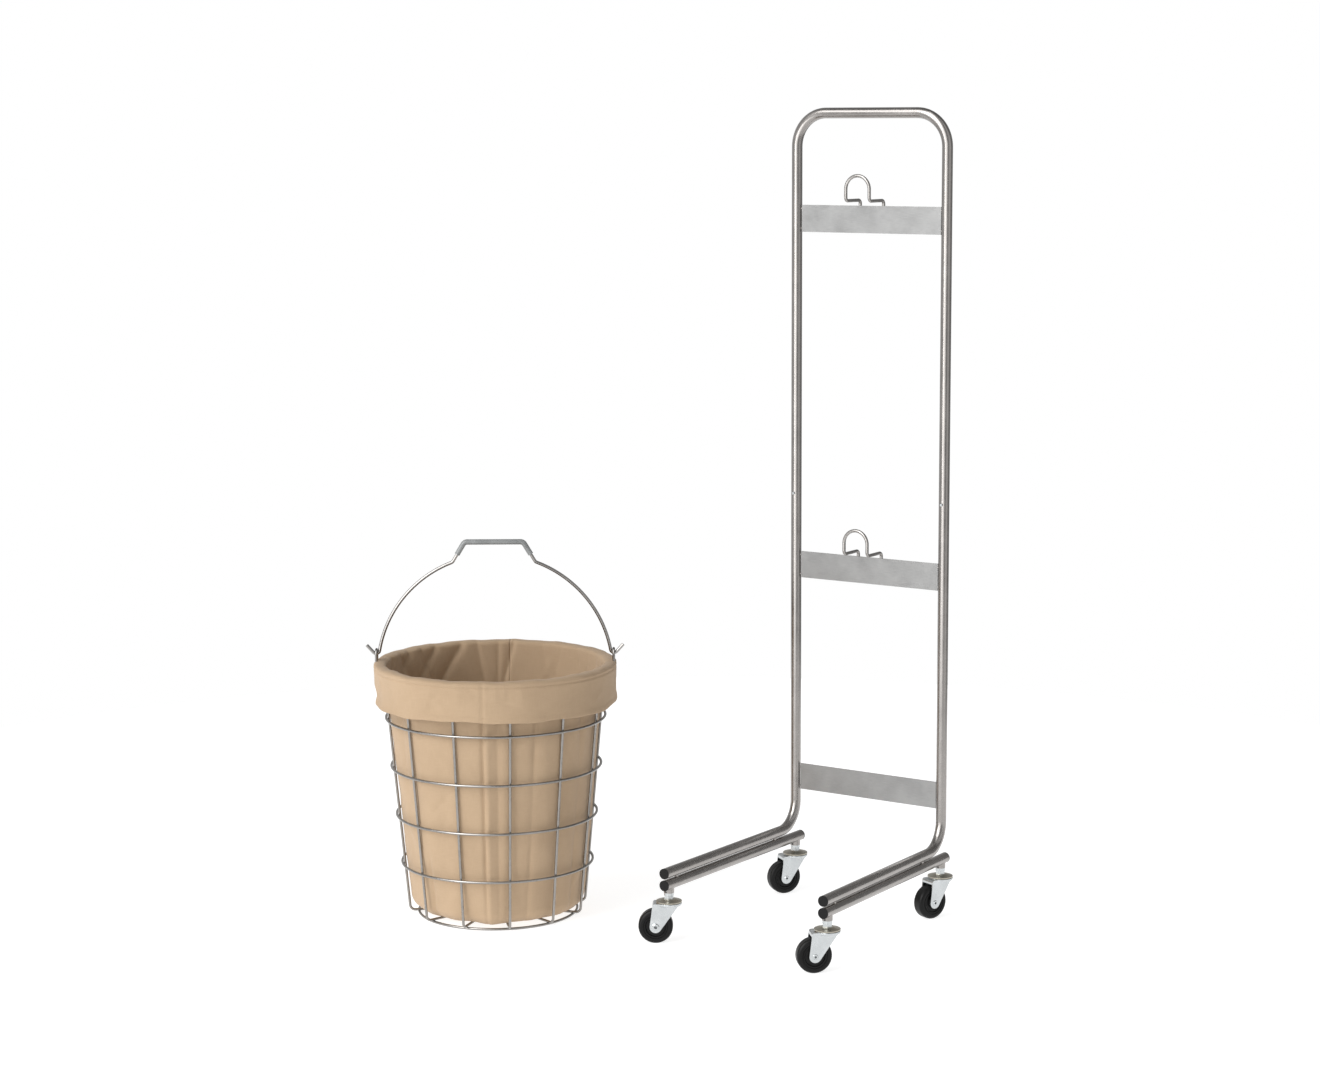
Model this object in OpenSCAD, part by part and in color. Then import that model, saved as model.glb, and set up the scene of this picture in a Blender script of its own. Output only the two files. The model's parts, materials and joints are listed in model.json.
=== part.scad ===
// Laundry cart: a rolling tube stand in two plugged-together halves, with wire hooks for baskets,
// and a wire basket with a cloth liner and a swinging bail handle, standing beside it.
// Millimetres, +Z up. The origin is on the floor under the middle of the whole set.
// The stand's crossbars run along X and its legs point towards -Y.

/* [Stand frame] */
// Height of the push bar's centreline above the floor
bar_z = 1205; // [1150:5:1260]
// Distance between the two posts, centre to centre
post_gap = 257; // [220:1:300]
// Outside diameter of every tube
tube_d = 15.9; // [15:0.1:16.5]
// Wall thickness of every tube
tube_wall = 1.2; // [1:0.1:1.4]
// Centreline radius of the two bends under the push bar
bar_bend = 50; // [35:1:80]
// Height of the joint between the upper and the lower half
seam_z = 614; // [592:1:680]
// Centreline radius of the bend from post to leg
leg_bend = 42; // [30:1:60]
// Height of the leg tube's centreline
leg_z = 105.2; // [105:0.1:107]
// Height of the base tube's centreline
base_z = 87.4; // [86.5:0.1:87.5]
// How far the legs reach in front of the posts, caps included
leg_reach = 357; // [300:1:400]
// How far the base tubes reach behind the posts, caps included
base_rear = 14.5; // [12:0.5:16]
// Angle by which each leg turns outwards
splay = 1.1; // [0:0.1:2]

/* [Crossbars and hooks] */
// Height of the upper edge of each crossbar, from the top one down
crossbar_tops = [1068, 539, 206];
// Width of a crossbar, edge to edge
crossbar_h = 40.7; // [35:0.1:45]
// Thickness of a crossbar
crossbar_t = 1.6; // [1:0.1:2.5]
// Distance from a post's axis to a crossbar's end
crossbar_inset = 9.2; // [8.8:0.1:10]
// Wire diameter of the hooks
hook_d = 5; // [4:0.1:6]
// Distance between a hook's two legs, centre to centre
hook_w = 40; // [30:1:60]
// How far a hook stands in front of its crossbar
hook_reach = 39.5; // [25:0.5:60]
// Height of a hook's seat above the crossbar's edge
hook_seat = 8.2; // [6:0.1:12]
// Height of a hook's arch above its seat
hook_rise = 37; // [32:0.5:50]

/* [Casters] */
// Wheel diameter
wheel_d = 51; // [50:0.5:51]
// Width of a wheel's tread
wheel_w = 18.8; // [16:0.1:19]
// Distance between a caster's swivel axis and its axle
trail = 19.6; // [18:0.1:21]
// Distance of the front swivel axes in front of the posts
front_caster = 344; // [290:1:345]
// Distance of the rear swivel axes in front of the posts
rear_caster = 1; // [0:0.5:5]
// Directions in which the casters trail: front left, front right, rear left, rear right
trail_angles = [212.6, 223.2, 234.8, 248.3];
// Number of bearing balls in a caster
balls = 12; // [8:1:20]

/* [Basket] */
// Distance of the basket's axis to the left of the stand's middle
basket_left = 455.1; // [400:0.1:600]
// Distance of the basket's axis in front of the posts
basket_front = 337.6; // [0:0.1:500]
// Direction of the bail's pivot axis, turned from X
basket_turn = 34.2; // [0:0.1:90]
// Diameter of the basket's wires
wire_d = 4; // [3.6:0.1:4.2]
// Number of upright wires
uprights = 12; // [8:1:16]
// Angle of the first upright from the pivot axis
upright_start = 10.5; // [8:0.5:12]
// Radius of the ring of uprights at the floor
foot_r = 134.4; // [130:0.1:140]
// Angle by which the basket's side leans outwards
taper = 5.3; // [5:0.1:5.6]
// Height of the lowest hoop
hoop_z = 79.7; // [60:0.1:90]
// Distance from one hoop to the next
hoop_pitch = 74.6; // [70:0.1:76]
// Radius of the ring that the basket stands on
base_ring_r = 120.9; // [110:0.1:125]
// Radius of the small ring where the spokes end
hub_r = 26; // [20:1:40]
// Height of the rim ring
rim_z = 382.5; // [380:0.1:384]
// Wire diameter of the rim ring
rim_d = 6; // [5:0.1:6]

/* [Liner] */
// Outer radius of the cuff at its top edge
cuff_top_r = 184.3; // [184:0.1:187]
// Outer radius of the cuff at its hem
cuff_hem_r = 182.7; // [182.5:0.1:186]
// Height of the cuff's hem
cuff_hem_z = 326; // [310:1:340]
// Height of the fold over the rim
fold_z = 388; // [388:0.1:390]
// Thickness of the cloth
cloth = 1.2; // [1:0.1:1.4]
// Height of the liner's underside
bag_z = 8.4; // [8.3:0.1:12]
// Radius of the rounding between the liner's bottom and its side
bag_round = 24; // [10:1:30]

/* [Bail] */
// Wire diameter of the bail
bail_d = 5; // [4:0.1:5]
// Radius of the bail's large arc
bail_r = 177.3; // [177:0.1:177.6]
// Height of the large arc's centre
bail_centre_z = 372; // [371:0.1:373]
// Height of the grip's centreline
grip_z = 568.5; // [560:0.5:580]
// Steepness of the bail's shoulders
shoulder = 59; // [50:1:65]
// Outside diameter of the grip sleeve
grip_d = 8.2; // [7:0.1:10]
// Length of the sleeve's slanting ends
grip_slope = 18; // [5:0.5:18]

/* [Hidden] */
$fn = 48;
STEEL = "dimgray";
ZINC = "silver";
tube_r = tube_d / 2;
bore_r = tube_r - tube_wall;
post_x = post_gap / 2;
SIDES = [-1, 1]; // left, right

// Solid bent bars
bend_lap = 0.1;
bend_thin = 0.02;
link = 0.3; // straight between two bends that follow each other

// Between the two tubes of a leg
spacer_r = 2.6;

// Caps and plugs
cap_t = 1.5;
cap_plug = 8;

// The plugged joint between the two halves
spigot_r = bore_r - 0.1;
spigot_wall = 1;
spigot_half = 40;
button_z = seam_z + 15;
button_r = 2.2;
button_out = 2.3; // how far the button stands out of the tube
button_hole_r = button_r + 0.1;
flange_front = 4.4;
flange_back = 3.6;
flange_r = 3.2;
leaf_w = 5;
leaf_t = 0.5;
leaf_back = 4.7;

// Heights inside a caster, from the floor
wheel_r = wheel_d / 2;
fork_low = 58.6;
fork_high = 60.1;
race_low = 61.6;
race_top = 66;
hex_top = 71.1;
nut_top = 74.9;
socket_low = 75;
stem_r = 3.9;
stem_top = base_z - tube_r - 0.3;
socket_r = 7.7;
race_r = 19;
ball_r = 1.5;
ball_ring_r = 12.5;
fork_in = 11.1; // from the wheel's middle to a fork leg's inner face
fork_t = 1.5;
fork_fold = 8; // a leg's leading part turns in by this angle
fork_eye = 8.6;
horn_x = trail + 4.9;
rivet_r = 3;
bush_in = rivet_r + 0.08;
bush_r = 4;
clear = 0.05; // space between welded wires, so that they only touch

// Basket wires
wire_r = wire_d / 2;
spoke_z = wire_d + clear + wire_r;
lean = tan(taper);
function upright_r(z) = foot_r + lean * (z - spoke_z); // an upright's centre at a height
side_step = (wire_d + clear) / cos(taper); // from an upright's centre to a hoop's
rim_r = upright_r(rim_z) + (wire_r + rim_d / 2 + clear) / cos(taper);
upright_top = rim_z + 1.5;
foot_bend = 8;

// Bail and ears
bail_rod = bail_d / 2;
ear_r = rim_r + rim_d / 2 + clear + wire_r;
ear_half = 6.5; // half the distance between an ear's two legs
ear_foot_z = 352;
eye_bend = 5.3; // centreline radius of the hooked end that sits in the ear
eye_turn_up = 48;
tip_run = 15;
arc_high = 68.7; // the large arc runs between these angles above the horizontal
arc_low = 10.2;
shoulder_bend = 6;
grip_bend = 7;
arc_high_turn = shoulder - (90 - arc_high);
shoulder_cut = shoulder_bend * tan(arc_high_turn / 2);
grip_cut = grip_bend * tan(shoulder / 2);
arc_start = [bail_r * cos(arc_high), bail_centre_z + bail_r * sin(arc_high)];
arc_corner = arc_start + shoulder_cut * [-sin(arc_high), cos(arc_high)];
shoulder_run = (grip_z - arc_corner[1]) / sin(shoulder);
grip_half = arc_corner[0] - shoulder_run * cos(shoulder);
eye_centre_z = bail_centre_z + bail_r * sin(arc_low) + eye_bend * sin(arc_low);
pivot_z = eye_centre_z - eye_bend;
pivot_r = (bail_r + eye_bend) * cos(arc_low);
ear_arch_z = pivot_z - 0.6;

// The set's middle, so that the origin is under it
x_low = -basket_left - cuff_top_r;
x_high = post_x + front_caster * sin(splay) + race_r;
y_low = -basket_front - cuff_top_r;
y_high = -rear_caster + race_r;
stand_at = [-(x_low + x_high) / 2, -(y_low + y_high) / 2, 0];
basket_at = stand_at + [-basket_left, -basket_front, 0];

CASTERS = ["front_left", "front_right", "rear_left", "rear_right"];
CASTER_PIECES = ["raceway", "balls", "fork", "rivet", "wheel", "bush"];

// ---- Shared shapes ----

module at_stand() { translate(stand_at) children(); }
module at_basket() { translate(basket_at) rotate(basket_turn) children(); }

// The foot of one post, turned so that its leg points to -Y
module at_post(side) { at_stand() translate([side * post_x, 0, 0]) rotate(side * splay) children(); }

// Carries a flat drawing's X to -Y and its Y to +Z
module forward_up() { rotate([90, 0, -90]) children(); }

// Carries a flat drawing's X to +X and its Y to +Z
module outward_up() { rotate([90, 0, 0]) children(); }

module section(r_out, r_in) {
    difference() {
        circle(r = r_out);
        if (r_in > 0) circle(r = r_in);
    }
}

// A round bar along a flat route from the origin towards +X.
// Each step is [straight length, bend radius, turn]: a stretch, then a bend, to the left if turn > 0.
// A solid bar's bends are a hair thinner than its straights and run a little way into them.
module routed_bar(steps, r_out, r_in = 0, i = 0) {
    if (i < len(steps)) {
        run = steps[i][0];
        turn = steps[i][2];
        bend = steps[i][1];
        centre = turn < 0 ? -bend : bend;
        lap = r_in > 0 || turn == 0 ? 0 : bend_lap / bend * 180 / PI;
        bend_r = r_in > 0 ? r_out : r_out - bend_thin;
        rotate([0, 90, 0]) linear_extrude(run) section(r_out, r_in);
        translate([run, centre, 0]) {
            if (turn != 0)
                rotate((turn > 0 ? -90 : 90 + turn) - lap)
                    rotate_extrude(angle = abs(turn) + 2 * lap) translate([bend, 0]) section(bend_r, r_in);
            rotate(turn) translate([0, -centre, 0]) routed_bar(steps, r_out, r_in, i + 1);
        }
    }
}

module torus(ring_r, rod_r) { rotate_extrude() translate([ring_r, 0]) circle(r = rod_r); }

// ---- Stand: tubes ----

module button_hole(side) {
    translate([side * post_x, 0, button_z]) rotate([90, 0, 0]) cylinder(r = button_hole_r, h = tube_d);
}

module upper_frame_tube() {
    half = bar_z - bar_bend - seam_z;
    bar = post_gap - 2 * bar_bend;
    color(STEEL) at_stand() difference() {
        translate([-post_x, 0, seam_z]) outward_up() rotate(90)
            routed_bar([[half, bar_bend, -90], [bar, bar_bend, -90], [half, 0, 0]], tube_r, bore_r);
        for (side = SIDES) button_hole(side);
    }
}

module lower_tube(side) {
    post = seam_z - leg_z - leg_bend;
    leg = leg_reach - cap_t - leg_bend;
    color(STEEL) at_post(side) translate([0, 0, seam_z]) forward_up() rotate(-90)
        routed_bar([[post, leg_bend, 90], [leg, 0, 0]], tube_r, bore_r);
}

module base_tube(side) {
    length = leg_reach + base_rear - 2 * cap_t;
    color(STEEL) at_post(side) translate([0, base_rear - cap_t, base_z]) rotate([90, 0, 0])
        linear_extrude(length) section(tube_r, bore_r);
}

module spigot(side) {
    color(ZINC) at_stand() difference() {
        translate([side * post_x, 0, seam_z - spigot_half])
            linear_extrude(2 * spigot_half) section(spigot_r, spigot_r - spigot_wall);
        button_hole(side);
    }
}

// The push-button that locks the two halves together
module snap_button(side) {
    dome = 0.8;
    tip = tube_r + button_out;
    outline = [[0, 0], [flange_r, 0], [flange_r, flange_front - flange_back],
               [button_r, flange_front - flange_back], [button_r, tip - flange_back - dome],
               [button_r - dome, tip - flange_back], [0, tip - flange_back]];
    color(ZINC) at_stand() translate([side * post_x, -flange_back, button_z]) rotate([90, 0, 0])
        rotate_extrude() polygon(outline);
}

// The folded leaf spring behind the button
module snap_spring(side) {
    front = flange_back - clear;
    bend = (front + leaf_back) / 2;
    arm = 24;
    color(ZINC) at_stand() translate([side * post_x - leaf_w / 2, leaf_back - bend, button_z - arm])
        rotate([0, 90, 0]) {
            for (y = [-bend, bend - leaf_t])
                translate([-arm - flange_r, y, 0]) cube([arm + flange_r, leaf_t, leaf_w]);
            rotate(-90) rotate_extrude(angle = 180) translate([bend - leaf_t, 0]) square([leaf_t, leaf_w]);
        }
}

// Short round spacers welded between the two tubes of each leg
module leg_spacers() {
    color(STEEL) for (side = SIDES) at_post(side) difference() {
        for (y = [-leg_reach + 33, -leg_bend - 18])
            translate([0, y, base_z]) cylinder(r = spacer_r, h = leg_z - base_z);
        for (z = [base_z, leg_z])
            translate([0, 0, z]) rotate([90, 0, 0]) cylinder(r = tube_r, h = leg_reach);
    }
}

module end_cap() {
    cylinder(r = tube_r, h = cap_t);
    translate([0, 0, -cap_plug]) cylinder(r = bore_r - clear, h = cap_plug);
}

module tube_end_caps() {
    color("black") for (side = SIDES) at_post(side) {
        for (z = [base_z, leg_z])
            translate([0, cap_t - leg_reach, z]) rotate([90, 0, 0]) end_cap();
        translate([0, base_rear - cap_t, base_z]) rotate([-90, 0, 0]) end_cap();
    }
}

// ---- Stand: crossbars and hooks ----

module crossbar(top) {
    length = post_gap - 2 * crossbar_inset;
    color("darkgray") at_stand() translate([-length / 2, -crossbar_t / 2, top - crossbar_h])
        cube([length, crossbar_t, crossbar_h]);
}

// Two short weld beads join each end of a crossbar to its post
module crossbar_welds() {
    bead_r = 1.7;
    from_edge = 5.5;
    reach = crossbar_inset - tube_r + 2;
    color(STEEL) at_stand() for (side = SIDES) for (top = crossbar_tops)
        for (z = [top - from_edge, top - crossbar_h + from_edge]) difference() {
            translate([side * (post_x - crossbar_inset), 0, z]) rotate([0, side * 90, 0])
                cylinder(r = bead_r, h = reach);
            translate([side * post_x, 0, z - 3]) cylinder(r = tube_r, h = 6);
        }
}

module hook(top) {
    foot = 30;
    bend = 5.5;
    behind = crossbar_t / 2 + hook_d / 2 + clear;
    upright = hook_rise - hook_w / 2;
    color(STEEL) at_stand() {
        for (side = SIDES)
            translate([side * hook_w / 2, behind, top - foot]) forward_up() rotate(90)
                routed_bar([[foot + hook_seat - bend, bend, -90],
                            [hook_reach + behind - 2 * bend, bend, 90],
                            [upright - bend, 0, 0]], hook_d / 2);
        translate([0, -hook_reach, top + hook_seat + upright]) outward_up()
            rotate_extrude(angle = 180) translate([hook_w / 2, 0]) circle(r = hook_d / 2);
    }
}

// ---- Casters ----

function caster_side(i) = SIDES[i % 2];
function caster_y(i) = i < 2 ? -front_caster : -rear_caster;

module at_caster(i) { at_post(caster_side(i)) translate([0, caster_y(i), 0]) children(); }

// The caster's own frame: the wheel trails towards +X
module at_fork(i) {
    at_caster(i) rotate(trail_angles[i] - caster_side(i) * splay) children();
}

module at_axle(i) { at_fork(i) translate([trail, 0, wheel_r]) rotate([90, 0, 0]) children(); }

// The threaded bushes welded under the base tubes
module caster_sockets() {
    drain_r = 1.6;
    color(STEEL) for (i = [0:3]) at_caster(i) difference() {
        translate([0, 0, socket_low]) cylinder(r = socket_r, h = base_z - socket_low);
        translate([0, 0, socket_low - 1]) cylinder(r = stem_r, h = stem_top - socket_low + 1);
        translate([0, tube_d, base_z]) rotate([90, 0, 0]) cylinder(r = tube_r, h = 2 * tube_d);
        translate([0, 0, socket_low + 2.2]) rotate([90, 0, 0]) cylinder(r = drain_r, h = tube_d);
    }
}

// Threaded stem with its hexagon, and below it the kingpin that holds the fork
module caster_stems() {
    head_r = 6;
    head_low = fork_low - 2;
    head_high = fork_low - 0.2;
    hex_r = 6.5 / cos(30);
    color(ZINC) for (i = [0:3]) at_caster(i) {
        translate([0, 0, head_high]) cylinder(r = stem_r, h = stem_top - head_high);
        translate([0, 0, head_low]) cylinder(r = head_r, h = head_high - head_low);
        translate([0, 0, race_top]) cylinder(r = hex_r, h = hex_top - race_top, $fn = 6);
    }
}

module caster_lock_nuts() {
    color(ZINC) for (i = [0:3]) at_caster(i) translate([0, 0, hex_top + 0.2]) difference() {
        cylinder(r = 7.2, h = nut_top - hex_top - 0.2);
        translate([0, 0, -1]) cylinder(r = stem_r, h = 8);
    }
}

// The fixed dished disc that the balls run under
module raceway(i) {
    sheet = 1.4;
    rise = [[race_r, race_low], [14, race_low + 1.2], [9, race_low + 2.9], [stem_r, race_low + 3]];
    outline = concat(rise, [for (k = [3:-1:0]) rise[k] + [0, sheet]]);
    color(ZINC) at_caster(i) rotate_extrude() polygon(outline);
}

module bearing_balls(i) {
    color("white") at_fork(i) for (k = [0:balls - 1]) rotate(k * 360 / balls)
        translate([ball_ring_r, 0, fork_high + ball_r + 0.02]) sphere(r = ball_r);
}

// Where the tangent from a point touches the fork's eye, on the side given by hand
function eye_touch(p, c, hand) =
    let (d = p - c, a = atan2(d[1], d[0]) + hand * acos(fork_eye / norm(d)))
    c + fork_eye * [cos(a), sin(a)];

module fork_leg() {
    eye = [trail, wheel_r];
    back = [trail + 4.5, fork_low + 0.2];
    lead = [trail - 35, fork_low + 0.2];
    crease = trail - 7.7;
    far = lead[0] - 1;
    inward = (crease - far) * tan(fork_fold);
    rear = trail + fork_eye + 1;
    folded = [[rear, fork_in], [rear, fork_in + fork_t], [crease, fork_in + fork_t],
              [far, fork_in + fork_t - inward], [far, fork_in - inward], [crease, fork_in]];
    intersection() {
        linear_extrude(fork_low + 0.2) polygon(folded);
        translate([0, fork_in + 2 * fork_t, 0]) outward_up() union() {
            linear_extrude(3 * fork_t + inward) polygon([back, lead, eye_touch(lead, eye, 1),
                                                         eye_touch(back, eye, -1)]);
            translate(eye) cylinder(r = fork_eye, h = 3 * fork_t + inward);
        }
    }
}

// A quarter of a thick ring, drawn out along Z
module rotate_quarter(h, r_out, r_in) {
    linear_extrude(h) intersection() {
        section(r_out, r_in);
        square(r_out);
    }
}

module fork(i) {
    rim = [[stem_r + 0.08, fork_low], [16.8, fork_low], [16.8, 57], [18.2, 56.8], [race_r, 57.8],
           [race_r, 60.2], [18.4, 60.9], [16.4, 60.9], [15.2, fork_high], [stem_r + 0.08, fork_high]];
    half = fork_in + fork_t;
    lip = 6;
    lip_r = 3.6;
    color(ZINC) at_fork(i) difference() {
        union() {
            rotate_extrude() polygon(rim);
            difference() {
                translate([0, -half, fork_low]) cube([horn_x - lip_r, 2 * half, fork_high - fork_low]);
                cylinder(r = 15.2, h = 2 * fork_high);
            }
            translate([horn_x - lip_r, half, fork_high - lip_r]) rotate([90, 0, 0])
                rotate_quarter(2 * half, lip_r, lip_r - fork_t);
            translate([horn_x - fork_t, -half, fork_high - lip]) cube([fork_t, 2 * half, lip - lip_r]);
            fork_leg();
            mirror([0, 1, 0]) fork_leg();
        }
        translate([trail, 30, wheel_r]) rotate([90, 0, 0]) cylinder(r = rivet_r + clear, h = 60);
    }
}

// The hollow rivet that is the axle; the front left one is fitted the other way round
module rivet(i) {
    half = fork_in + fork_t + clear;
    big = 5.8;
    small = 3.9;
    hollow = 1.7;
    outline = [[hollow, -half - 1.1], [small - 0.5, -half - 1.1], [small, -half - 0.5], [small, -half],
               [rivet_r, -half], [rivet_r, half], [big, half], [big, half + 0.5],
               [big - 1.4, half + 1.6], [hollow + 0.6, half + 1.6], [hollow, half + 0.6]];
    color(ZINC) at_axle(i) rotate([i == 0 ? 180 : 0, 0, 0]) rotate_extrude() polygon(outline);
}

// The solid wheel: rounded tread, a groove in each face, a sunk web and a hub boss
module wheel(i) {
    half = wheel_w / 2;
    soft = 4.5; // rounding of the tread's shoulders
    web = half - 1.6;
    hub = fork_in - 0.25;
    shoulder_arc = [for (a = [0:15:90]) [wheel_r - soft + soft * cos(a), half - soft + soft * sin(a)]];
    face = concat(shoulder_arc, [[18.4, half], [18, half - 0.9], [17.2, half - 0.9], [16.8, half],
                                 [15.2, half], [14, web], [9, web], [8, hub], [bush_r, hub]]);
    count = len(face);
    outline = concat(face, [for (k = [count - 1:-1:0]) [face[k][0], -face[k][1]]]);
    color("black") at_axle(i) rotate_extrude() polygon(outline);
}

module bush(i) {
    hub = fork_in - 0.15;
    color(ZINC) at_axle(i) translate([0, 0, -hub]) linear_extrude(2 * hub) section(bush_r, bush_in);
}

// ---- Basket wires ----

module floor_ring(ring_r) { color(STEEL) at_basket() translate([0, 0, wire_r]) torus(ring_r, wire_r); }

module hoop(k) {
    z = hoop_z + k * hoop_pitch;
    color(STEEL) at_basket() translate([0, 0, z]) torus(upright_r(z) + side_step, wire_r);
}

module rim_ring() { color(STEEL) at_basket() translate([0, 0, rim_z]) torus(rim_r, rim_d / 2); }

// Each upright bends in at the floor and runs on as a spoke to the hub ring
module upright_wires() {
    cut = foot_bend * tan((90 - taper) / 2);
    rise = (upright_top - spoke_z) / cos(taper);
    color(STEEL) at_basket() for (k = [0:uprights - 1]) rotate(upright_start + k * 360 / uprights)
        translate([hub_r, 0, spoke_z]) outward_up()
            routed_bar([[foot_r - hub_r - cut, foot_bend, 90 - taper], [rise - cut, 0, 0]], wire_r);
}

module ear(side) {
    leg = ear_arch_z - ear_foot_z;
    color(STEEL) at_basket() translate([side * ear_r, ear_half, ear_foot_z]) forward_up() rotate(90)
        routed_bar([[leg, ear_half, -180], [leg, 0, 0]], wire_r);
}

// ---- Liner ----

// The cloth bag and the cuff folded out over the rim, with holes for the ears
module fabric_liner() {
    gap = wire_r + 0.3;
    fold_low = fold_z - cloth;
    lip_z = fold_z - 3; // the inner edge of the fold starts to open here
    lip_out = 2;
    crease_z = fold_z - 5; // the cuff bends down here
    edge = 1.5;
    side_r = function (z, depth) upright_r(z) - gap - depth;
    corner = function (depth) [for (a = [-90:15:-taper])
        [side_r(bag_z + bag_round, 0) - bag_round + (bag_round - depth) * cos(a),
         bag_z + bag_round + (bag_round - depth) * sin(a)]];
    outer = concat([[0, bag_z]], corner(0), [[side_r(fold_low, 0), fold_low]]);
    inner = concat([[0, bag_z + cloth]], corner(cloth),
                   [[side_r(lip_z, cloth), lip_z], [side_r(fold_z, -lip_out), fold_z]]);
    count = len(inner);
    cuff = [[cuff_top_r - cloth, fold_low], [cuff_top_r - cloth, crease_z],
            [cuff_hem_r - cloth, cuff_hem_z], [cuff_hem_r, cuff_hem_z], [cuff_top_r, crease_z],
            [cuff_top_r, fold_z - edge], [cuff_top_r - edge, fold_z]];
    color("tan") at_basket() difference() {
        rotate_extrude() polygon(concat(outer, cuff, [for (k = [count - 1:-1:0]) inner[k]]));
        for (x = [-ear_r, ear_r]) for (y = [-ear_half, ear_half])
            translate([x, y, rim_z]) cylinder(r = wire_r + 0.3, h = 10);
    }
}

// ---- Bail ----

module bail_half(r_out, r_in, steps) {
    at_basket() for (side = [0, 1]) mirror([side, 0, 0])
        translate([0, 0, grip_z]) outward_up() routed_bar(steps, r_out, r_in);
}

module bail_wire() {
    color(STEEL) bail_half(bail_rod, 0, [
        [grip_half - grip_cut, grip_bend, -shoulder],
        [shoulder_run - grip_cut - shoulder_cut, shoulder_bend, arc_high_turn],
        [link, bail_r, arc_low - arc_high],
        [link, eye_bend, 90 - arc_low + eye_turn_up],
        [tip_run, 0, 0]]);
}

module bail_grip() {
    color("gainsboro") bail_half(grip_d / 2, bail_rod + clear, [
        [grip_half - grip_cut, grip_bend, -shoulder],
        [grip_slope, 0, 0]]);
}

// ---- Nodes ----

module caster_piece(i, piece) {
    if (piece == "raceway") raceway(i);
    if (piece == "balls") bearing_balls(i);
    if (piece == "fork") fork(i);
    if (piece == "rivet") rivet(i);
    if (piece == "wheel") wheel(i);
    if (piece == "bush") bush(i);
}

upper_frame_tube();
lower_tube(-1);  // left_lower_tube
lower_tube(1);  // right_lower_tube
base_tube(-1);  // left_base_tube
base_tube(1);  // right_base_tube
spigot(-1);  // left_spigot
spigot(1);  // right_spigot
snap_spring(-1);  // left_snap_spring
snap_spring(1);  // right_snap_spring
snap_button(-1);  // left_snap_button
snap_button(1);  // right_snap_button
crossbar(crossbar_tops[0]);  // top_crossbar
crossbar(crossbar_tops[1]);  // middle_crossbar
crossbar(crossbar_tops[2]);  // lower_crossbar
crossbar_welds();
hook(crossbar_tops[0]);  // top_hook
hook(crossbar_tops[1]);  // middle_hook
leg_spacers();
tube_end_caps();
caster_sockets();
caster_stems();
caster_lock_nuts();
for (i = [0:3]) for (piece = CASTER_PIECES)
    caster_piece(i, piece);
floor_ring(base_ring_r);  // base_ring
floor_ring(hub_r);  // hub_ring
for (k = [0:3])
    hoop(k);
rim_ring();
upright_wires();
ear(-1);  // left_ear
ear(1);  // right_ear
fabric_liner();
bail_wire();
bail_grip();
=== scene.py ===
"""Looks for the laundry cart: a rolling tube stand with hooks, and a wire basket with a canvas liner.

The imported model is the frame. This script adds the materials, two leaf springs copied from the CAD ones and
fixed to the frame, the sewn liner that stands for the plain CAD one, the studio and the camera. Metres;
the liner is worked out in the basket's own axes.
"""
import json
import math

import bpy
import numpy as np
from mathutils import Matrix, Vector


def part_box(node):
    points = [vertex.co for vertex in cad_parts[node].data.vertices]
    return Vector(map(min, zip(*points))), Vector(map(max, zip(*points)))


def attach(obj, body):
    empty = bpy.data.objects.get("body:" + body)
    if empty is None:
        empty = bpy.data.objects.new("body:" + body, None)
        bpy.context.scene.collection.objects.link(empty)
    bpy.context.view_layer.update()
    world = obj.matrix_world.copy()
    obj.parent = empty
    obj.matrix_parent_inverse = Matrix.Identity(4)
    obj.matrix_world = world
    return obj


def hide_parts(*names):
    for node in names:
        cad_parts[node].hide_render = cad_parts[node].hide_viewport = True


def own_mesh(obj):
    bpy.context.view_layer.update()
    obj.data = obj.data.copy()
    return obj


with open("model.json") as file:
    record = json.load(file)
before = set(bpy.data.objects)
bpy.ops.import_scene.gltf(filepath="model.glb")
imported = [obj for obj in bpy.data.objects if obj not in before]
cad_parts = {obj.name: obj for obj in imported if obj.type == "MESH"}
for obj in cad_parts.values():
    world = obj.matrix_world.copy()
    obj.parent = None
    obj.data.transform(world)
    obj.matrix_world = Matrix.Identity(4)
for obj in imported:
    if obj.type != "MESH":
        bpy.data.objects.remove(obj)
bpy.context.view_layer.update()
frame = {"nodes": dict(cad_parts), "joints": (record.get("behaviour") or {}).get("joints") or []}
nodes = frame["nodes"]
joints = {joint["name"]: joint for joint in frame["joints"]}
scene = bpy.context.scene

CORNERS = ("front_left", "front_right", "rear_left", "rear_right")


# ---- Where things are, from the frame ----

def middle(node):
    low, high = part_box(node)
    return (low + high) / 2


def ring_radius(node, wire):
    """Centreline radius of a ring that lies flat, from its box."""
    low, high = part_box(node)
    return (high.x - low.x) / 2 - wire / 2


stand_middle = middle("upper_frame_tube")
pivot = Vector(joints["bail_swing"]["pos_m"])
pivot_axis = Vector(joints["bail_swing"]["axis"])
basket_turn = math.atan2(pivot_axis.y, pivot_axis.x)
basket_place = Matrix.Translation((pivot.x, pivot.y, 0)) @ Matrix.Rotation(basket_turn, 4, "Z")

WIRE = 0.004
low_hoop_radius, low_hoop_height = ring_radius("hoop_1", WIRE), middle("hoop_1").z
top_hoop_radius, top_hoop_height = ring_radius("hoop_4", WIRE), middle("hoop_4").z
basket_lean = (top_hoop_radius - low_hoop_radius) / (top_hoop_height - low_hoop_height)
HOOP_TO_UPRIGHT = 1.007 * WIRE * 1.02  # level, between their centrelines: a little over one wire


def upright_radius(z):
    """Radius of the uprights' centrelines at a height."""
    return low_hoop_radius - HOOP_TO_UPRIGHT + basket_lean * (z - low_hoop_height)


# ---- Shader helpers ----

FINE = 0.0002  # depth of a fine grain


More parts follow.
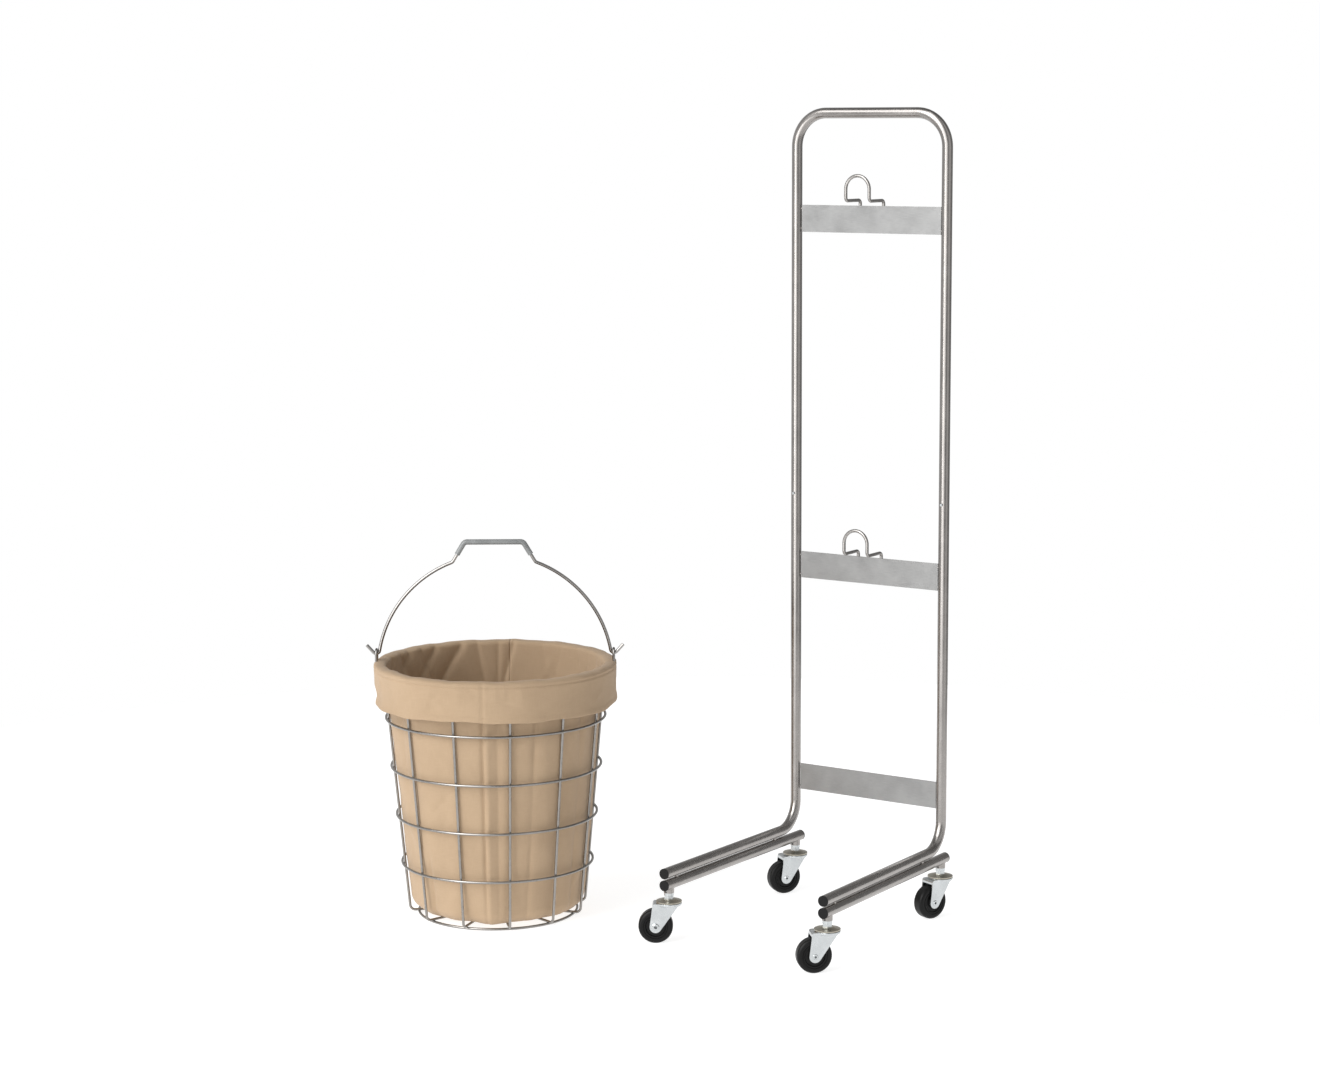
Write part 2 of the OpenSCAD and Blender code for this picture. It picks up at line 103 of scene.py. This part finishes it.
class Graph:
    """A node tree, with short ways to add and join nodes."""

    def __init__(self, tree):
        self.tree = tree

    def node(self, kind, inputs=None, **settings):
        made = self.tree.nodes.new("ShaderNode" + kind)
        for key, value in settings.items():
            setattr(made, key, value)
        for key, value in (inputs or {}).items():
            self.feed(made.inputs[key], value)
        return made

    def feed(self, socket, value):
        if isinstance(value, bpy.types.NodeSocket):
            self.tree.links.new(value, socket)
        else:
            socket.default_value = value

    def math(self, operation, a, b=0.0, c=0.0):
        made = self.node("Math", operation=operation)
        for socket, value in zip(made.inputs, (a, b, c)):
            self.feed(socket, value)
        return made.outputs["Value"]

    def spread(self, value, low, high, from_low=0.3, from_high=0.7, kind="LINEAR"):
        """Carries from_low..from_high, by default a noise's usual spread, to low..high."""
        made = self.node("MapRange", {"Value": value, "From Min": from_low, "From Max": from_high,
                                      "To Min": low, "To Max": high}, interpolation_type=kind)
        return made.outputs["Result"]


class Shader(Graph):
    """One material, and what its surface is fed with."""

    def __init__(self, name):
        self.material = bpy.data.materials.new(name)
        self.material.use_nodes = True
        super().__init__(self.material.node_tree)
        self.bsdf = self.tree.nodes["Principled BSDF"]

    def set(self, **values):
        """Feeds the surface's own sockets; an underscore in a name stands for a space."""
        for key, value in values.items():
            self.feed(self.bsdf.inputs[key.replace("_", " ")], value)

    def place(self, scale=(1, 1, 1)):
        """The piece's own coordinates in metres, stretched."""
        coordinates = self.node("TexCoord").outputs["Object"]
        return self.node("Mapping", {"Vector": coordinates, "Scale": scale}).outputs["Vector"]

    def noise(self, scale, place=None, detail=4.0):
        made = self.node("TexNoise", {"Vector": place or self.place(), "Scale": scale, "Detail": detail,
                                      "Roughness": 0.55})
        return made.outputs["Fac"]

    def blend(self, factor, a, b):
        made = self.node("Mix", data_type="RGBA")
        self.feed(made.inputs["Factor"], factor)
        self.feed(made.inputs["A"], (*a, 1) if isinstance(a, tuple) else a)
        self.feed(made.inputs["B"], (*b, 1) if isinstance(b, tuple) else b)
        return made.outputs["Result"]

    def bump(self, height, strength, distance=FINE):
        made = self.node("Bump", {"Height": height, "Strength": strength, "Distance": distance})
        return made.outputs["Normal"]


def shade(color, factor):
    return tuple(channel * factor for channel in color)


# ---- Metals ----

def drawn_steel(name, color, rough=0.24, along="z", coat=0.25):
    """Clear-coated steel with fine draw lines along one axis and faint mottling."""
    shader = Shader(name)
    stretch = {"x": (0.03, 1, 1), "y": (1, 0.03, 1), "z": (1, 1, 0.03)}[along]
    lines = shader.noise(2600, shader.place(stretch), detail=3)
    mottle = shader.noise(28, detail=5)
    tone = shader.math("MULTIPLY_ADD", lines, 0.5, shader.math("MULTIPLY", mottle, 0.5))
    shader.set(
        Base_Color=shader.blend(shader.spread(tone, 0, 1, 0.35, 0.65), shade(color, 0.86), shade(color, 1.14)),
        Metallic=1.0,
        Roughness=shader.spread(tone, rough - 0.06, rough + 0.07, 0.35, 0.65),
        Normal=shader.bump(lines, 0.12),
        Coat_Weight=coat,
        Coat_Roughness=0.12,
    )
    return shader.material


def zinc_plate(name, color, rough=0.24):
    """Bright zinc plate: soft clouds, fine pits and slightly uneven gloss."""
    shader = Shader(name)
    clouds = shader.noise(70, detail=6)
    pits = shader.noise(1500, detail=2)
    shader.set(
        Base_Color=shader.blend(shader.spread(clouds, 0, 1), shade(color, 0.88), shade(color, 1.06)),
        Metallic=1.0,
        Roughness=shader.spread(clouds, rough - 0.05, rough + 0.09),
        Normal=shader.bump(pits, 0.10),
    )
    return shader.material


# ---- Plastics and rubber ----

def moulded(name, color, rough, grain=900, bump=0.12, coat=0.0, gloss=0.5):
    """Moulded plastic or rubber: a fine grain, faint flow marks and scuffs."""
    shader = Shader(name)
    flow = shader.noise(45, detail=4)
    fine = shader.noise(grain, detail=3)
    shader.set(
        Base_Color=shader.blend(shader.spread(flow, 0, 1), shade(color, 0.85), shade(color, 1.2)),
        Roughness=shader.spread(flow, rough - 0.05, rough + 0.08),
        Normal=shader.bump(fine, bump),
        Coat_Weight=coat,
        Specular_IOR_Level=gloss,
    )
    return shader.material


# ---- Cloth ----

THREAD = 0.0011  # from one thread to the next


def canvas(name, light, dark):
    """Plain-woven canvas: crossing threads, slubs along them and faint creasing."""
    shader = Shader(name)
    thread = shader.node("Attribute", attribute_name="thread").outputs["Vector"]
    parts = shader.node("SeparateXYZ", {"Vector": thread}).outputs
    warp, weft = (shader.math("SINE", shader.math("MULTIPLY", parts[way], math.pi / THREAD)) for way in "XY")
    knots = shader.math("ABSOLUTE", shader.math("MULTIPLY", warp, weft))

    def slubs(x, y):
        stretched = shader.node("Mapping", {"Vector": thread, "Scale": (x, y, 1)}).outputs["Vector"]
        return shader.noise(1, stretched, detail=3)

    slub = shader.math("MAXIMUM", slubs(60, 900), slubs(900, 60))
    cloud = shader.noise(14, thread, detail=4)
    tone = shader.math("MULTIPLY_ADD", slub, 0.40, shader.math("MULTIPLY", cloud, 0.45))
    tone = shader.math("MULTIPLY_ADD", knots, 0.12, tone)
    height = shader.math("MULTIPLY_ADD", slub, 0.5, knots)
    shader.set(
        Base_Color=shader.blend(shader.spread(tone, 0, 1, 0.35, 0.7), dark, light),
        Roughness=shader.spread(slub, 0.95, 0.82, 0.4, 0.7),
        Normal=shader.bump(height, 0.35, 0.0004),
        Sheen_Weight=0.12,
        Sheen_Roughness=0.45,
    )
    return shader.material


# ---- What each piece is made of ----

TUBE = (0.34, 0.322, 0.308)
PLATE = (0.315, 0.315, 0.313)
WIRE_STEEL = (0.36, 0.345, 0.33)
# Painted shade: the basket's wires are the same steel as WIRE_STEEL, made darker for the shade they stand in
# among the cloth
BASKET_STEEL_PAINTED_SHADE = (0.31, 0.296, 0.28)
ZINC = (0.60, 0.625, 0.635)

looks = {
    "tube_upright": drawn_steel("tube_steel_upright", TUBE),
    "tube_level": drawn_steel("tube_steel_level", TUBE, along="y"),
    "plate": drawn_steel("plate_steel", PLATE, rough=0.40, along="x", coat=0.1),
    "wire": drawn_steel("wire_steel", WIRE_STEEL, rough=0.25, along="z"),
    # painted shade: the basket's wires get the same drawn steel as the hooks and bail, only darker
    "basket_wire_painted_shade": drawn_steel("wire_steel_basket_painted_shade", BASKET_STEEL_PAINTED_SHADE, rough=0.27, along="z"),
    "zinc": zinc_plate("zinc_plate", ZINC),
    "race": zinc_plate("zinc_race", (0.47, 0.44, 0.37), rough=0.3),
    "spring": zinc_plate("spring_steel", (0.45, 0.46, 0.48), rough=0.2),
    "cap": moulded("cap_plastic", (0.007, 0.007, 0.007), 0.5, gloss=0.2),
    "wheel": moulded("wheel_rubber", (0.006, 0.006, 0.006), 0.36, grain=600, bump=0.2, gloss=0.2),
    "grip": moulded("grip_plastic", (0.27, 0.28, 0.28), 0.32, coat=0.2),
    "cloth": canvas("canvas", (0.56, 0.405, 0.262), (0.47, 0.335, 0.214)),
    "stitch": moulded("sewing_thread", (0.50, 0.36, 0.235), 0.8, grain=2500, bump=0.3),
}


def wear(look, *names):
    """Puts a material on CAD nodes."""
    for name in names:
        mesh = nodes[name].data
        mesh.materials.clear()
        mesh.materials.append(looks[look])


wear("tube_upright", "upper_frame_tube", "left_lower_tube", "right_lower_tube", "crossbar_welds")
wear("tube_level", "left_base_tube", "right_base_tube", "leg_spacers", "caster_sockets")
wear("plate", "top_crossbar", "middle_crossbar", "lower_crossbar")
wear("wire", "top_hook", "middle_hook", "bail_wire")
# the basket's wires: the same steel, with painted shade in its colour
wear("basket_wire_painted_shade", "base_ring", "hub_ring", "hoop_1", "hoop_2", "hoop_3", "hoop_4", "rim_ring",
     "upright_wires", "left_ear", "right_ear")
wear("zinc", "caster_stems", "caster_lock_nuts", "left_spigot", "right_spigot", "left_snap_button",
     "right_snap_button")
wear("spring", "left_snap_spring", "right_snap_spring")
wear("cap", "tube_end_caps")
wear("grip", "bail_grip")
for corner in CORNERS:
    wear("race", corner + "_raceway")
    wear("zinc", corner + "_fork", corner + "_rivet", corner + "_bush")
    wear("spring", corner + "_balls")
    wear("wheel", corner + "_wheel")


# ---- The leaf springs ----

def build_leaf_spring(side):
    """The snap button's spring: a copy of the CAD one, fixed to the frame."""
    node, press = side + "_snap_spring", side + "_button_press"
    piece = bpy.data.objects.new(side + "_leaf_spring", nodes[node].data.copy())
    piece.matrix_world = nodes[node].matrix_world
    scene.collection.objects.link(piece)
    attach(piece, "frame")
    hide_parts(node)
    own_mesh(piece)


for side in ("left", "right"):
    build_leaf_spring(side)


# ---- The liner ----
# One long side panel, sewn up at the back, goes up inside the wires, over the rim and down as a cuff.
# A round bottom panel is sewn to its lower edge. Angles are degrees round the basket, from the right ear.

CLOTH = 0.0012
UPRIGHT_GAP = 0.0013  # from an upright's face in to the middle of the cloth
SWELL = 0.0018  # how far out the cloth may swell between two uprights
FLOOR_TOP = 0.0084  # underside of the bag, on the spokes
SEAM_ROUND = 0.024
WALL_TOP = 0.3815
MOUTH_DROP = 0.046  # how far under the wall's top the mouth's folds have their second angle
TURN_RISE = 0.0054  # how far the cloth stands over the wall's top where it turns over the rim
CUFF_OUT = 0.1836
CUFF_CREASE = 0.3795  # a crease that runs round the cuff just under the turn
HEM_LOW = 0.326
HEM_BAND = 0.0072
THREAD_RADIUS = 0.165  # at which the threads are laid out round the basket
COLUMNS = 380
CORNER_ROWS, WALL_ROWS, TURN_ROWS, CUFF_ROWS = 10, 72, 12, 34
BOTTOM_RINGS = 16
STITCHES, STITCH_LONG, STITCH_THICK, STITCH_SIDES = 350, 0.0024, 0.00030, 6
# A stitch's cross-sections: how far along it, how wide, how high; its ends sink into the cloth
STITCH_RINGS = ((-0.5, 0.35, -0.6), (-0.25, 1, 0.3), (0.25, 1, 0.3), (0.5, 0.35, -0.6))
BACK_SEAM = 85.0
FRONT_SEAM = -93.3
UPRIGHT_STEP = 360 / 12  # twelve uprights
FIRST_UPRIGHT = 10.5

# Folds that run down the outside: angle, width, and how far out they stand in millimetres
SIDE_FOLDS = [(-94.3, 0.8, -4.2), (-91.7, 1.7, 2.4), (-86.2, 2.2, -2.6), (-77.0, 4.6, -2.8),
              (-66.0, 2.0, -4.4), (-57.5, 5.0, 1.4), (-46.5, 4.2, -2.4), (-32.0, 2.6, -5.0),
              (-20.0, 4.4, -0.8), (-118.0, 5.0, -1.4), (-132.0, 6.0, 1.6), (-150.0, 4.0, -2.2)]
STRAIGHT_FOLDS = 3  # the first ones, beside the front seam
# Folds inside the mouth: angle at the wall's top, angle MOUTH_DROP lower, width, depth in millimetres
MOUTH_FOLDS = [(128, 142, 2.2, 4.8), (112, 124, 2.4, 6.0), (103, 100, 1.8, 2.8), (91, 91.5, 1.2, 2.6),
               (83, 87, 1.5, 5.0), (66, 62, 3.6, 2.0), (53, 57, 2.8, 1.3), (41, 37, 3.8, 1.8),
               (29, 32, 2.6, 1.1), (167, 180, 2.6, 4.4), (156, 146, 2.2, 3.4), (148, 163, 2.4, 5.4),
               (138, 132, 2.0, 2.8), (20, 16, 3.4, 1.6), (10, 7, 2.4, 1.0)]


def side_gap(z):
    """Outermost radius of the wall's middle surface, just inside the uprights."""
    return upright_radius(z) - WIRE / 2 - UPRIGHT_GAP


def wave(angle, times, start=0):
    """A sine that runs a number of times round the basket."""
    return np.sin(np.radians(times * angle + start))


def away_from(centre, angle):
    """Degrees from a centre to an angle, the shorter way round."""
    return (angle - centre + 180) % 360 - 180


def hump(angle, centre, width, power=2.0):
    """A soft bump, 1 at its centre."""
    return np.exp(-np.abs(away_from(centre, angle) / width) ** power)


def pleat(angle, centre, width):
    """A fold that is steep on one side and slack on the other."""
    away = away_from(centre, angle)
    return np.exp(-np.abs(away / (width * np.where(away > 0, 1.7, 0.65))) ** 1.15)


def ramp(value, low, high):
    """Rises softly from 0 to 1 between low and high."""
    t = np.clip((value - low) / (high - low), 0, 1)
    return t * t * (3 - 2 * t)


def small_creases(count, seed, depth, width):
    """Seeded leaning wrinkles: angle, lean in degrees per metre, height, reach, width, depth."""
    source = np.random.default_rng(seed)
    return [(source.uniform(-180, 180), source.uniform(-170, 170), source.uniform(0.03, 0.38),
             source.uniform(0.02, 0.09), source.uniform(*width), source.uniform(-1, 1) * depth)
            for _ in range(count)]


WALL_CREASES = [(angle, 2.2 * tilt, z, 0.6 * reach, wide, deep) for angle, tilt, z, reach, wide, deep
                in small_creases(count=90, seed=11, depth=0.0016, width=(1.8, 6.0))]
CUFF_CREASES = [(angle, 2.5 * tilt, 0.328 + 0.15 * (z - 0.03), reach * 0.22, wide, deep)
                for angle, tilt, z, reach, wide, deep
                in small_creases(count=90, seed=23, depth=0.0014, width=(1.2, 5.0))]


def creased(angle, z, creases):
    """How far a list of wrinkles moves the cloth in or out."""
    total = np.zeros(np.broadcast(angle, z).shape)
    for centre, tilt, height, reach, width, depth in creases:
        total += depth * hump(angle, centre + tilt * (z - height), width) * np.exp(-((z - height) / reach) ** 2)
    return total


def wall_radius(angle, z):
    """The wall hangs in folds; it may swell a little between two uprights but never through one."""
    mouth = ramp(z, 0.20, 0.345)
    shift = -0.0009 - 0.0052 * mouth * ramp(np.sin(np.radians(angle)), -0.15, 0.25)
    outside = 0
    for k, (centre, width, depth) in enumerate(SIDE_FOLDS):
        loose = k >= STRAIGHT_FOLDS
        lean = 26 * math.sin(2.3 * k) * loose
        strength = 1 - loose * (0.38 - 0.38 * np.sin(19 * z + 1.9 * k))
        outside = outside + depth / 1000 * strength * hump(angle, centre + lean * (z - 0.2), width, 1.35)
    fade = 0.45 + 0.55 * ramp(z, 0.03, 0.12)
    shift = shift + outside * fade
    lower = np.clip((WALL_TOP - z) / MOUTH_DROP, 0, 2.2)
    for top, low, width, depth in MOUTH_FOLDS:
        shift = shift + depth / 1000 * mouth * pleat(angle, top + (low - top) * lower, width)
    leaning = hump(angle, -84.5 + 2.5 * (0.320 - z) / 0.020, 1.0) * ramp(z, 0.285, 0.315)
    shift = shift - 0.0015 * leaning
    foot = (1 - ramp(z, 0.028, 0.115)) * (1 - 0.85 * hump(angle, -2, 34))  # full at the right, as it hangs
    shift = shift - foot * (0.0042 + 0.0026 * wave(angle, 5, 20) + 0.0012 * wave(angle, 13))
    ankle = hump(angle, -135 + 40 * (z - 0.06), 1.6) * ramp(z, 0.012, 0.03) * (1 - ramp(z, 0.09, 0.13))
    shift = shift - 0.0022 * ankle + creased(angle, z, WALL_CREASES)
    between = (angle - FIRST_UPRIGHT) % UPRIGHT_STEP
    between = np.minimum(between, UPRIGHT_STEP - between)
    return side_gap(z) + np.minimum(shift, SWELL * ramp(between, 2.0, 6.0))


def hem_height(angle):
    """The cuff's lower edge, a little uneven."""
    turn = np.radians(angle)
    uneven = 0.0013 * np.sin(3 * turn + 0.6) + 0.0009 * np.sin(7 * turn + 2.0) + 0.0006 * np.sin(17 * turn)
    return HEM_LOW + 0.0012 + uneven


def cuff_radius(angle, z):
    """The cuff: tight over the ears, drawn in a little half way down, its doubled hem kinked out."""
    down = np.clip((WALL_TOP - z) / (WALL_TOP - HEM_LOW), 0, 1)
    ears = np.maximum(hump(angle, 0, 16), hump(angle, 180, 16))
    drawn = 0.0022 * np.sin(np.pi * down) + 0.0014 * np.sin(np.pi * down) * wave(angle, 2, 40)
    radius = CUFF_OUT - CLOTH / 2 - drawn * (1 - 0.75 * ears)
    radius = radius - 0.0036 * hump(angle, -168, 30) * ramp(down, 0.45, 0.8) * (1 - 0.5 * ramp(down, 0.88, 1.0))
    radius = radius - 0.0015 * np.exp(-((z - CUFF_CREASE) / 0.0010) ** 2)
    hem = z - hem_height(angle)
    radius = radius + 0.0005 * (1 - ramp(hem, HEM_BAND - 0.0004, HEM_BAND + 0.0006))
    radius = radius - 0.0005 * np.exp(-((hem - HEM_BAND) / 0.0007) ** 2)
    radius = radius + 0.0008 * (1 - ramp(hem, 0, 0.016)) * wave(angle, 9, 30)
    radius = radius - 0.0015 * hump(angle, FRONT_SEAM, 0.40)
    wrinkled = creased(angle, z, CUFF_CREASES)
    near_top = ramp(z, 0.352, 0.374) * hump(angle, -84, 8)
    wrinkled = wrinkled + 0.00022 * near_top * wave(angle, 90)
    return radius + wrinkled * (1 - 0.5 * ears)


def side_panel():
    """Rows from the bottom seam up the wall, over the rim and down to the hem: radius and height."""
    angle = BACK_SEAM + 360 * np.arange(COLUMNS + 1) / COLUMNS
    rows = []
    corner = FLOOR_TOP + SEAM_ROUND
    tuck = 0.0016 * hump(angle, -102, 22) * wave(angle, 9)
    last = CORNER_ROWS - 1
    for step in range(CORNER_ROWS):
        turn = math.radians(-72 + 68 * step / last)
        centre = wall_radius(angle, np.full_like(angle, corner)) - SEAM_ROUND
        radius = centre + SEAM_ROUND * math.cos(turn)
        if step == 3:  # a groove above the seam
            radius = radius - 0.0011
        rows.append((radius, corner + SEAM_ROUND * math.sin(turn) + tuck * (1 - step / last)))
    foot = rows[-1][1]
    for step in range(1, WALL_ROWS + 1):
        z = foot + (WALL_TOP - foot) * step / WALL_ROWS
        rows.append((wall_radius(angle, z), z))
    inner = rows[-1][0]
    outer = cuff_radius(angle, np.full_like(angle, WALL_TOP))
    scallop = 1.11 + 0.09 * wave(angle, 14) + 0.05 * wave(angle, 31, 50)  # high enough to clear the rim ring
    for step in range(1, TURN_ROWS):
        turn = math.pi * step / TURN_ROWS
        across = (1 - math.cos(turn)) / 2
        height = WALL_TOP + TURN_RISE * scallop * math.sin(turn) ** 0.6
        rows.append((inner + (outer - inner) * across, height))
    hem = hem_height(angle)
    for step in range(CUFF_ROWS):
        z = WALL_TOP + (hem - WALL_TOP) * step / (CUFF_ROWS - 1)
        rows.append((cuff_radius(angle, z), z))
    return angle, rows


def basket_piece(name, points, faces, look):
    """A smooth mesh, worked out in the basket's own axes and put in its place."""
    mesh = bpy.data.meshes.new(name)
    mesh.from_pydata(points, [], faces)
    mesh.transform(basket_place)
    mesh.polygons.foreach_set("use_smooth", [True] * len(mesh.polygons))
    mesh.materials.append(looks[look])
    piece = bpy.data.objects.new(name, mesh)
    scene.collection.objects.link(piece)
    return piece


def cloth_piece(name, points, threads, faces):
    """A panel of the liner; threads are the cloth's own flat coordinates, for its weave."""
    piece = basket_piece(name, points, faces, "cloth")
    thread = piece.data.attributes.new("thread", "FLOAT_VECTOR", "POINT")
    thread.data.foreach_set("vector", np.array(threads).ravel())
    thick = piece.modifiers.new("cloth", "SOLIDIFY")
    thick.thickness = CLOTH
    thick.offset = 0
    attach(piece, "basket")
    return piece


def build_side():
    """The side panel and, for the bottom to be sewn to, its lowest row."""
    angle, rows = side_panel()
    turn = np.radians(angle)
    length = np.zeros_like(angle)
    points, threads = [], []
    last = None
    for radius, height in rows:
        if last is not None:
            length = length + np.hypot(radius - last[0], height - last[1])
        last = (radius, height)
        points.append(np.stack([radius * np.cos(turn), radius * np.sin(turn), height], axis=1))
        threads.append(np.stack([THREAD_RADIUS * (turn - turn[0]), length, 0 * turn], axis=1))
    width = COLUMNS + 1
    faces = [(i * width + k, i * width + k + 1, (i + 1) * width + k + 1, (i + 1) * width + k)
             for i in range(len(rows) - 1) for k in range(COLUMNS)]
    return cloth_piece("sewn_liner", np.concatenate(points).tolist(), np.concatenate(threads), faces), rows[0]


def build_bottom(edge):
    """The round panel lies on the spokes and sags a little between them."""
    angle = BACK_SEAM + 360 * np.arange(COLUMNS) / COLUMNS
    turn = np.radians(angle)
    edge_radius, edge_height = edge[0][:-1], edge[1][:-1]
    points, threads = [(0, 0, FLOOR_TOP + CLOTH / 2)], [(0, 0, 0)]
    for ring in range(1, BOTTOM_RINGS + 1):
        t = ring / BOTTOM_RINGS
        radius = edge_radius * t
        uneven = 0.0006 * np.sin(6 * turn + 1.0) + 0.0005 * np.sin(11 * turn + 5 * t)
        height = FLOOR_TOP + CLOTH / 2 + (0.0008 + uneven) * math.sin(math.pi * t)
        height = height + (edge_height - FLOOR_TOP - CLOTH / 2) * t ** 6
        for r, a, z in zip(radius, turn, height):
            points.append((r * math.cos(a), r * math.sin(a), z))
            threads.append((r * math.cos(a), r * math.sin(a), 0))
    faces = [(0, 1 + k, 1 + (k + 1) % COLUMNS) for k in range(COLUMNS)]
    for ring in range(BOTTOM_RINGS - 1):
        for k in range(COLUMNS):
            a, b = 1 + ring * COLUMNS + k, 1 + ring * COLUMNS + (k + 1) % COLUMNS
            faces.append((a, a + COLUMNS, b + COLUMNS, b))
    return cloth_piece("liner_bottom", points, threads, faces)


def build_stitches():
    """Small sewing stitches along the hem's fold line."""
    points, faces = [], []

    def stitch(place, along, out):
        side = along.cross(out)
        first = len(points)
        for t, wide, lift in STITCH_RINGS:
            for k in range(STITCH_SIDES):
                turn = 2 * math.pi * k / STITCH_SIDES
                points.append(place + along * (STITCH_LONG * t) + side * (STITCH_THICK * wide * math.cos(turn))
                              + out * (STITCH_THICK * (wide * math.sin(turn) * 0.6 + lift)))
        for ring in range(len(STITCH_RINGS) - 1):
            for k in range(STITCH_SIDES):
                a = first + ring * STITCH_SIDES + k
                b = first + ring * STITCH_SIDES + (k + 1) % STITCH_SIDES
                faces.append((a, b, b + STITCH_SIDES, a + STITCH_SIDES))
        faces.append(tuple(range(first, first + STITCH_SIDES))[::-1])
        faces.append(tuple(range(len(points) - STITCH_SIDES, len(points))))

    for k in range(STITCHES):
        angle = 360 * k / STITCHES - 180
        z = float(hem_height(np.array(angle))) + HEM_BAND
        r = float(cuff_radius(np.array(angle), np.array(z))) + CLOTH / 2
        turn = math.radians(angle)
        out = Vector((math.cos(turn), math.sin(turn), 0))
        stitch(out * r + Vector((0, 0, z)), Vector((-out.y, out.x, 0)), out)
    piece = basket_piece("liner_stitches", [tuple(point) for point in points], faces, "stitch")
    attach(piece, "basket")


liner, bottom_edge = build_side()
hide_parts("fabric_liner")
build_bottom(bottom_edge)
build_stitches()


# ---- Studio ----

WHITE = (1, 1, 1, 1)
LEFT = Vector((-0.827, -0.562, 0))  # the camera's left, where the studio is brightest
# Tall strips of light that only reflections see, for the streaks down the tubes:
# direction, cosine where it starts, cosine where it is full, strength
STRIPS = (((0.020, -1.0, 0), 0.86, 0.99, 2.0), ((0.998, -0.070, 0), 0.88, 0.99, 0.5))
MIRRORED = 0.72  # how bright the rest of the studio is in reflections
FLOOR_REACH = 1.9  # no further, so that upright tubes don't mirror a white plain
FLOOR_SIDES = 96


def make_floor():
    turns = [2 * math.pi * k / FLOOR_SIDES for k in range(FLOOR_SIDES)]
    ring = [(FLOOR_REACH * math.cos(turn), FLOOR_REACH * math.sin(turn), 0) for turn in turns]
    mesh = bpy.data.meshes.new("floor")
    mesh.from_pydata(ring, [], [tuple(range(FLOOR_SIDES))])
    shader = Shader("pale_floor")
    speckle = shader.noise(3, detail=2)
    shader.set(Base_Color=shader.blend(speckle, (0.50, 0.50, 0.50), (0.52, 0.52, 0.52)), Roughness=0.9,
               Specular_IOR_Level=0.1, Emission_Color=WHITE, Emission_Strength=0.80)
    mesh.materials.append(shader.material)
    floor = bpy.data.objects.new("floor", mesh)
    scene.collection.objects.link(floor)


def make_world():
    """White to the camera; as a light it is bright at the left, dim at the right and overhead."""
    world = bpy.data.worlds.new("studio")
    scene.world = world
    world.use_nodes = True
    world.node_tree.nodes.clear()
    graph = Graph(world.node_tree)

    def facing(way, towards):
        """Cosine between the way looked and a direction."""
        made = graph.node("VectorMath", {0: way, 1: towards}, operation="DOT_PRODUCT")
        return made.outputs["Value"]

    way = graph.node("TexCoord").outputs["Generated"]
    up = graph.node("SeparateXYZ", {0: way}).outputs["Z"]
    sideways = graph.spread(facing(way, LEFT), 0.45, 0.94, -0.9, 0.9, kind="SMOOTHSTEP")
    upwards = graph.spread(up, 1.0, 0.42, 0.15, 0.95)
    level = graph.math("MULTIPLY", sideways, upwards)
    flat = graph.node("VectorMath", {0: way, 1: (1, 1, 0)}, operation="MULTIPLY").outputs["Vector"]
    round_about = graph.node("VectorMath", {0: flat}, operation="NORMALIZE").outputs["Vector"]
    mirrored = graph.math("MULTIPLY", level, MIRRORED)
    for towards, start, full, strength in STRIPS:
        across = facing(round_about, Vector(towards).normalized())
        strip = graph.spread(across, 0.0, strength, start, full, kind="SMOOTHSTEP")
        mirrored = graph.math("ADD", mirrored, strip)
    path = graph.node("LightPath").outputs
    brightness = graph.node("Mix", {"Factor": path["Is Glossy Ray"], "A": level, "B": mirrored},
                            data_type="FLOAT").outputs["Result"]
    lit = graph.node("Background", {"Color": WHITE, "Strength": brightness}).outputs["Background"]
    seen = graph.node("Background", {"Color": WHITE}).outputs["Background"]
    mix = graph.node("MixShader", {"Fac": path["Is Camera Ray"], 1: lit, 2: seen})
    graph.node("OutputWorld", {"Surface": mix.outputs["Shader"]})


def add_softbox(name, place, target, size, power):
    light = bpy.data.lights.new(name, "AREA")
    light.shape = "RECTANGLE"
    light.size, light.size_y = size
    light.energy = power
    box = bpy.data.objects.new(name, light)
    box.location = place
    box.rotation_euler = (Vector(target) - Vector(place)).to_track_quat("-Z", "Y").to_euler()
    scene.collection.objects.link(box)


def add_sun(name, towards, strength, spread):
    light = bpy.data.lights.new(name, "SUN")
    light.energy = strength
    light.angle = math.radians(spread)
    sun = bpy.data.objects.new(name, light)
    sun.rotation_euler = Vector(towards).to_track_quat("-Z", "Y").to_euler()
    scene.collection.objects.link(sun)


make_floor()
make_world()
add_sun("broad_key", towards=(0.33, 0.94, -0.70), strength=1.38, spread=45)
add_softbox("left_box", place=(stand_middle.x - 0.9, stand_middle.y - 3.4, 1.3),
            target=(stand_middle.x, stand_middle.y, 0.6), size=(0.4, 2.6), power=14)


# ---- Camera ----

FOCAL = 79.43
CAMERA_FROM_STAND = (2.18877, -3.78409, 1.20614)
YAW, PITCH, ROLL = 34.19, -8.342, -0.254


def make_camera():
    lens = bpy.data.cameras.new("camera")
    lens.sensor_width = 36
    lens.sensor_fit = "HORIZONTAL"
    lens.lens = FOCAL
    camera = bpy.data.objects.new("camera", lens)
    place = Matrix.Translation(Vector((stand_middle.x, stand_middle.y, 0)) + Vector(CAMERA_FROM_STAND))
    turn = Matrix.Rotation(math.radians(YAW), 4, "Z")
    tilt = Matrix.Rotation(math.radians(90 + PITCH), 4, "X")
    roll = Matrix.Rotation(math.radians(ROLL), 4, "Z")
    camera.matrix_world = place @ turn @ tilt @ roll
    scene.collection.objects.link(camera)
    scene.camera = camera


make_camera()
scene.view_settings.view_transform = "Standard"
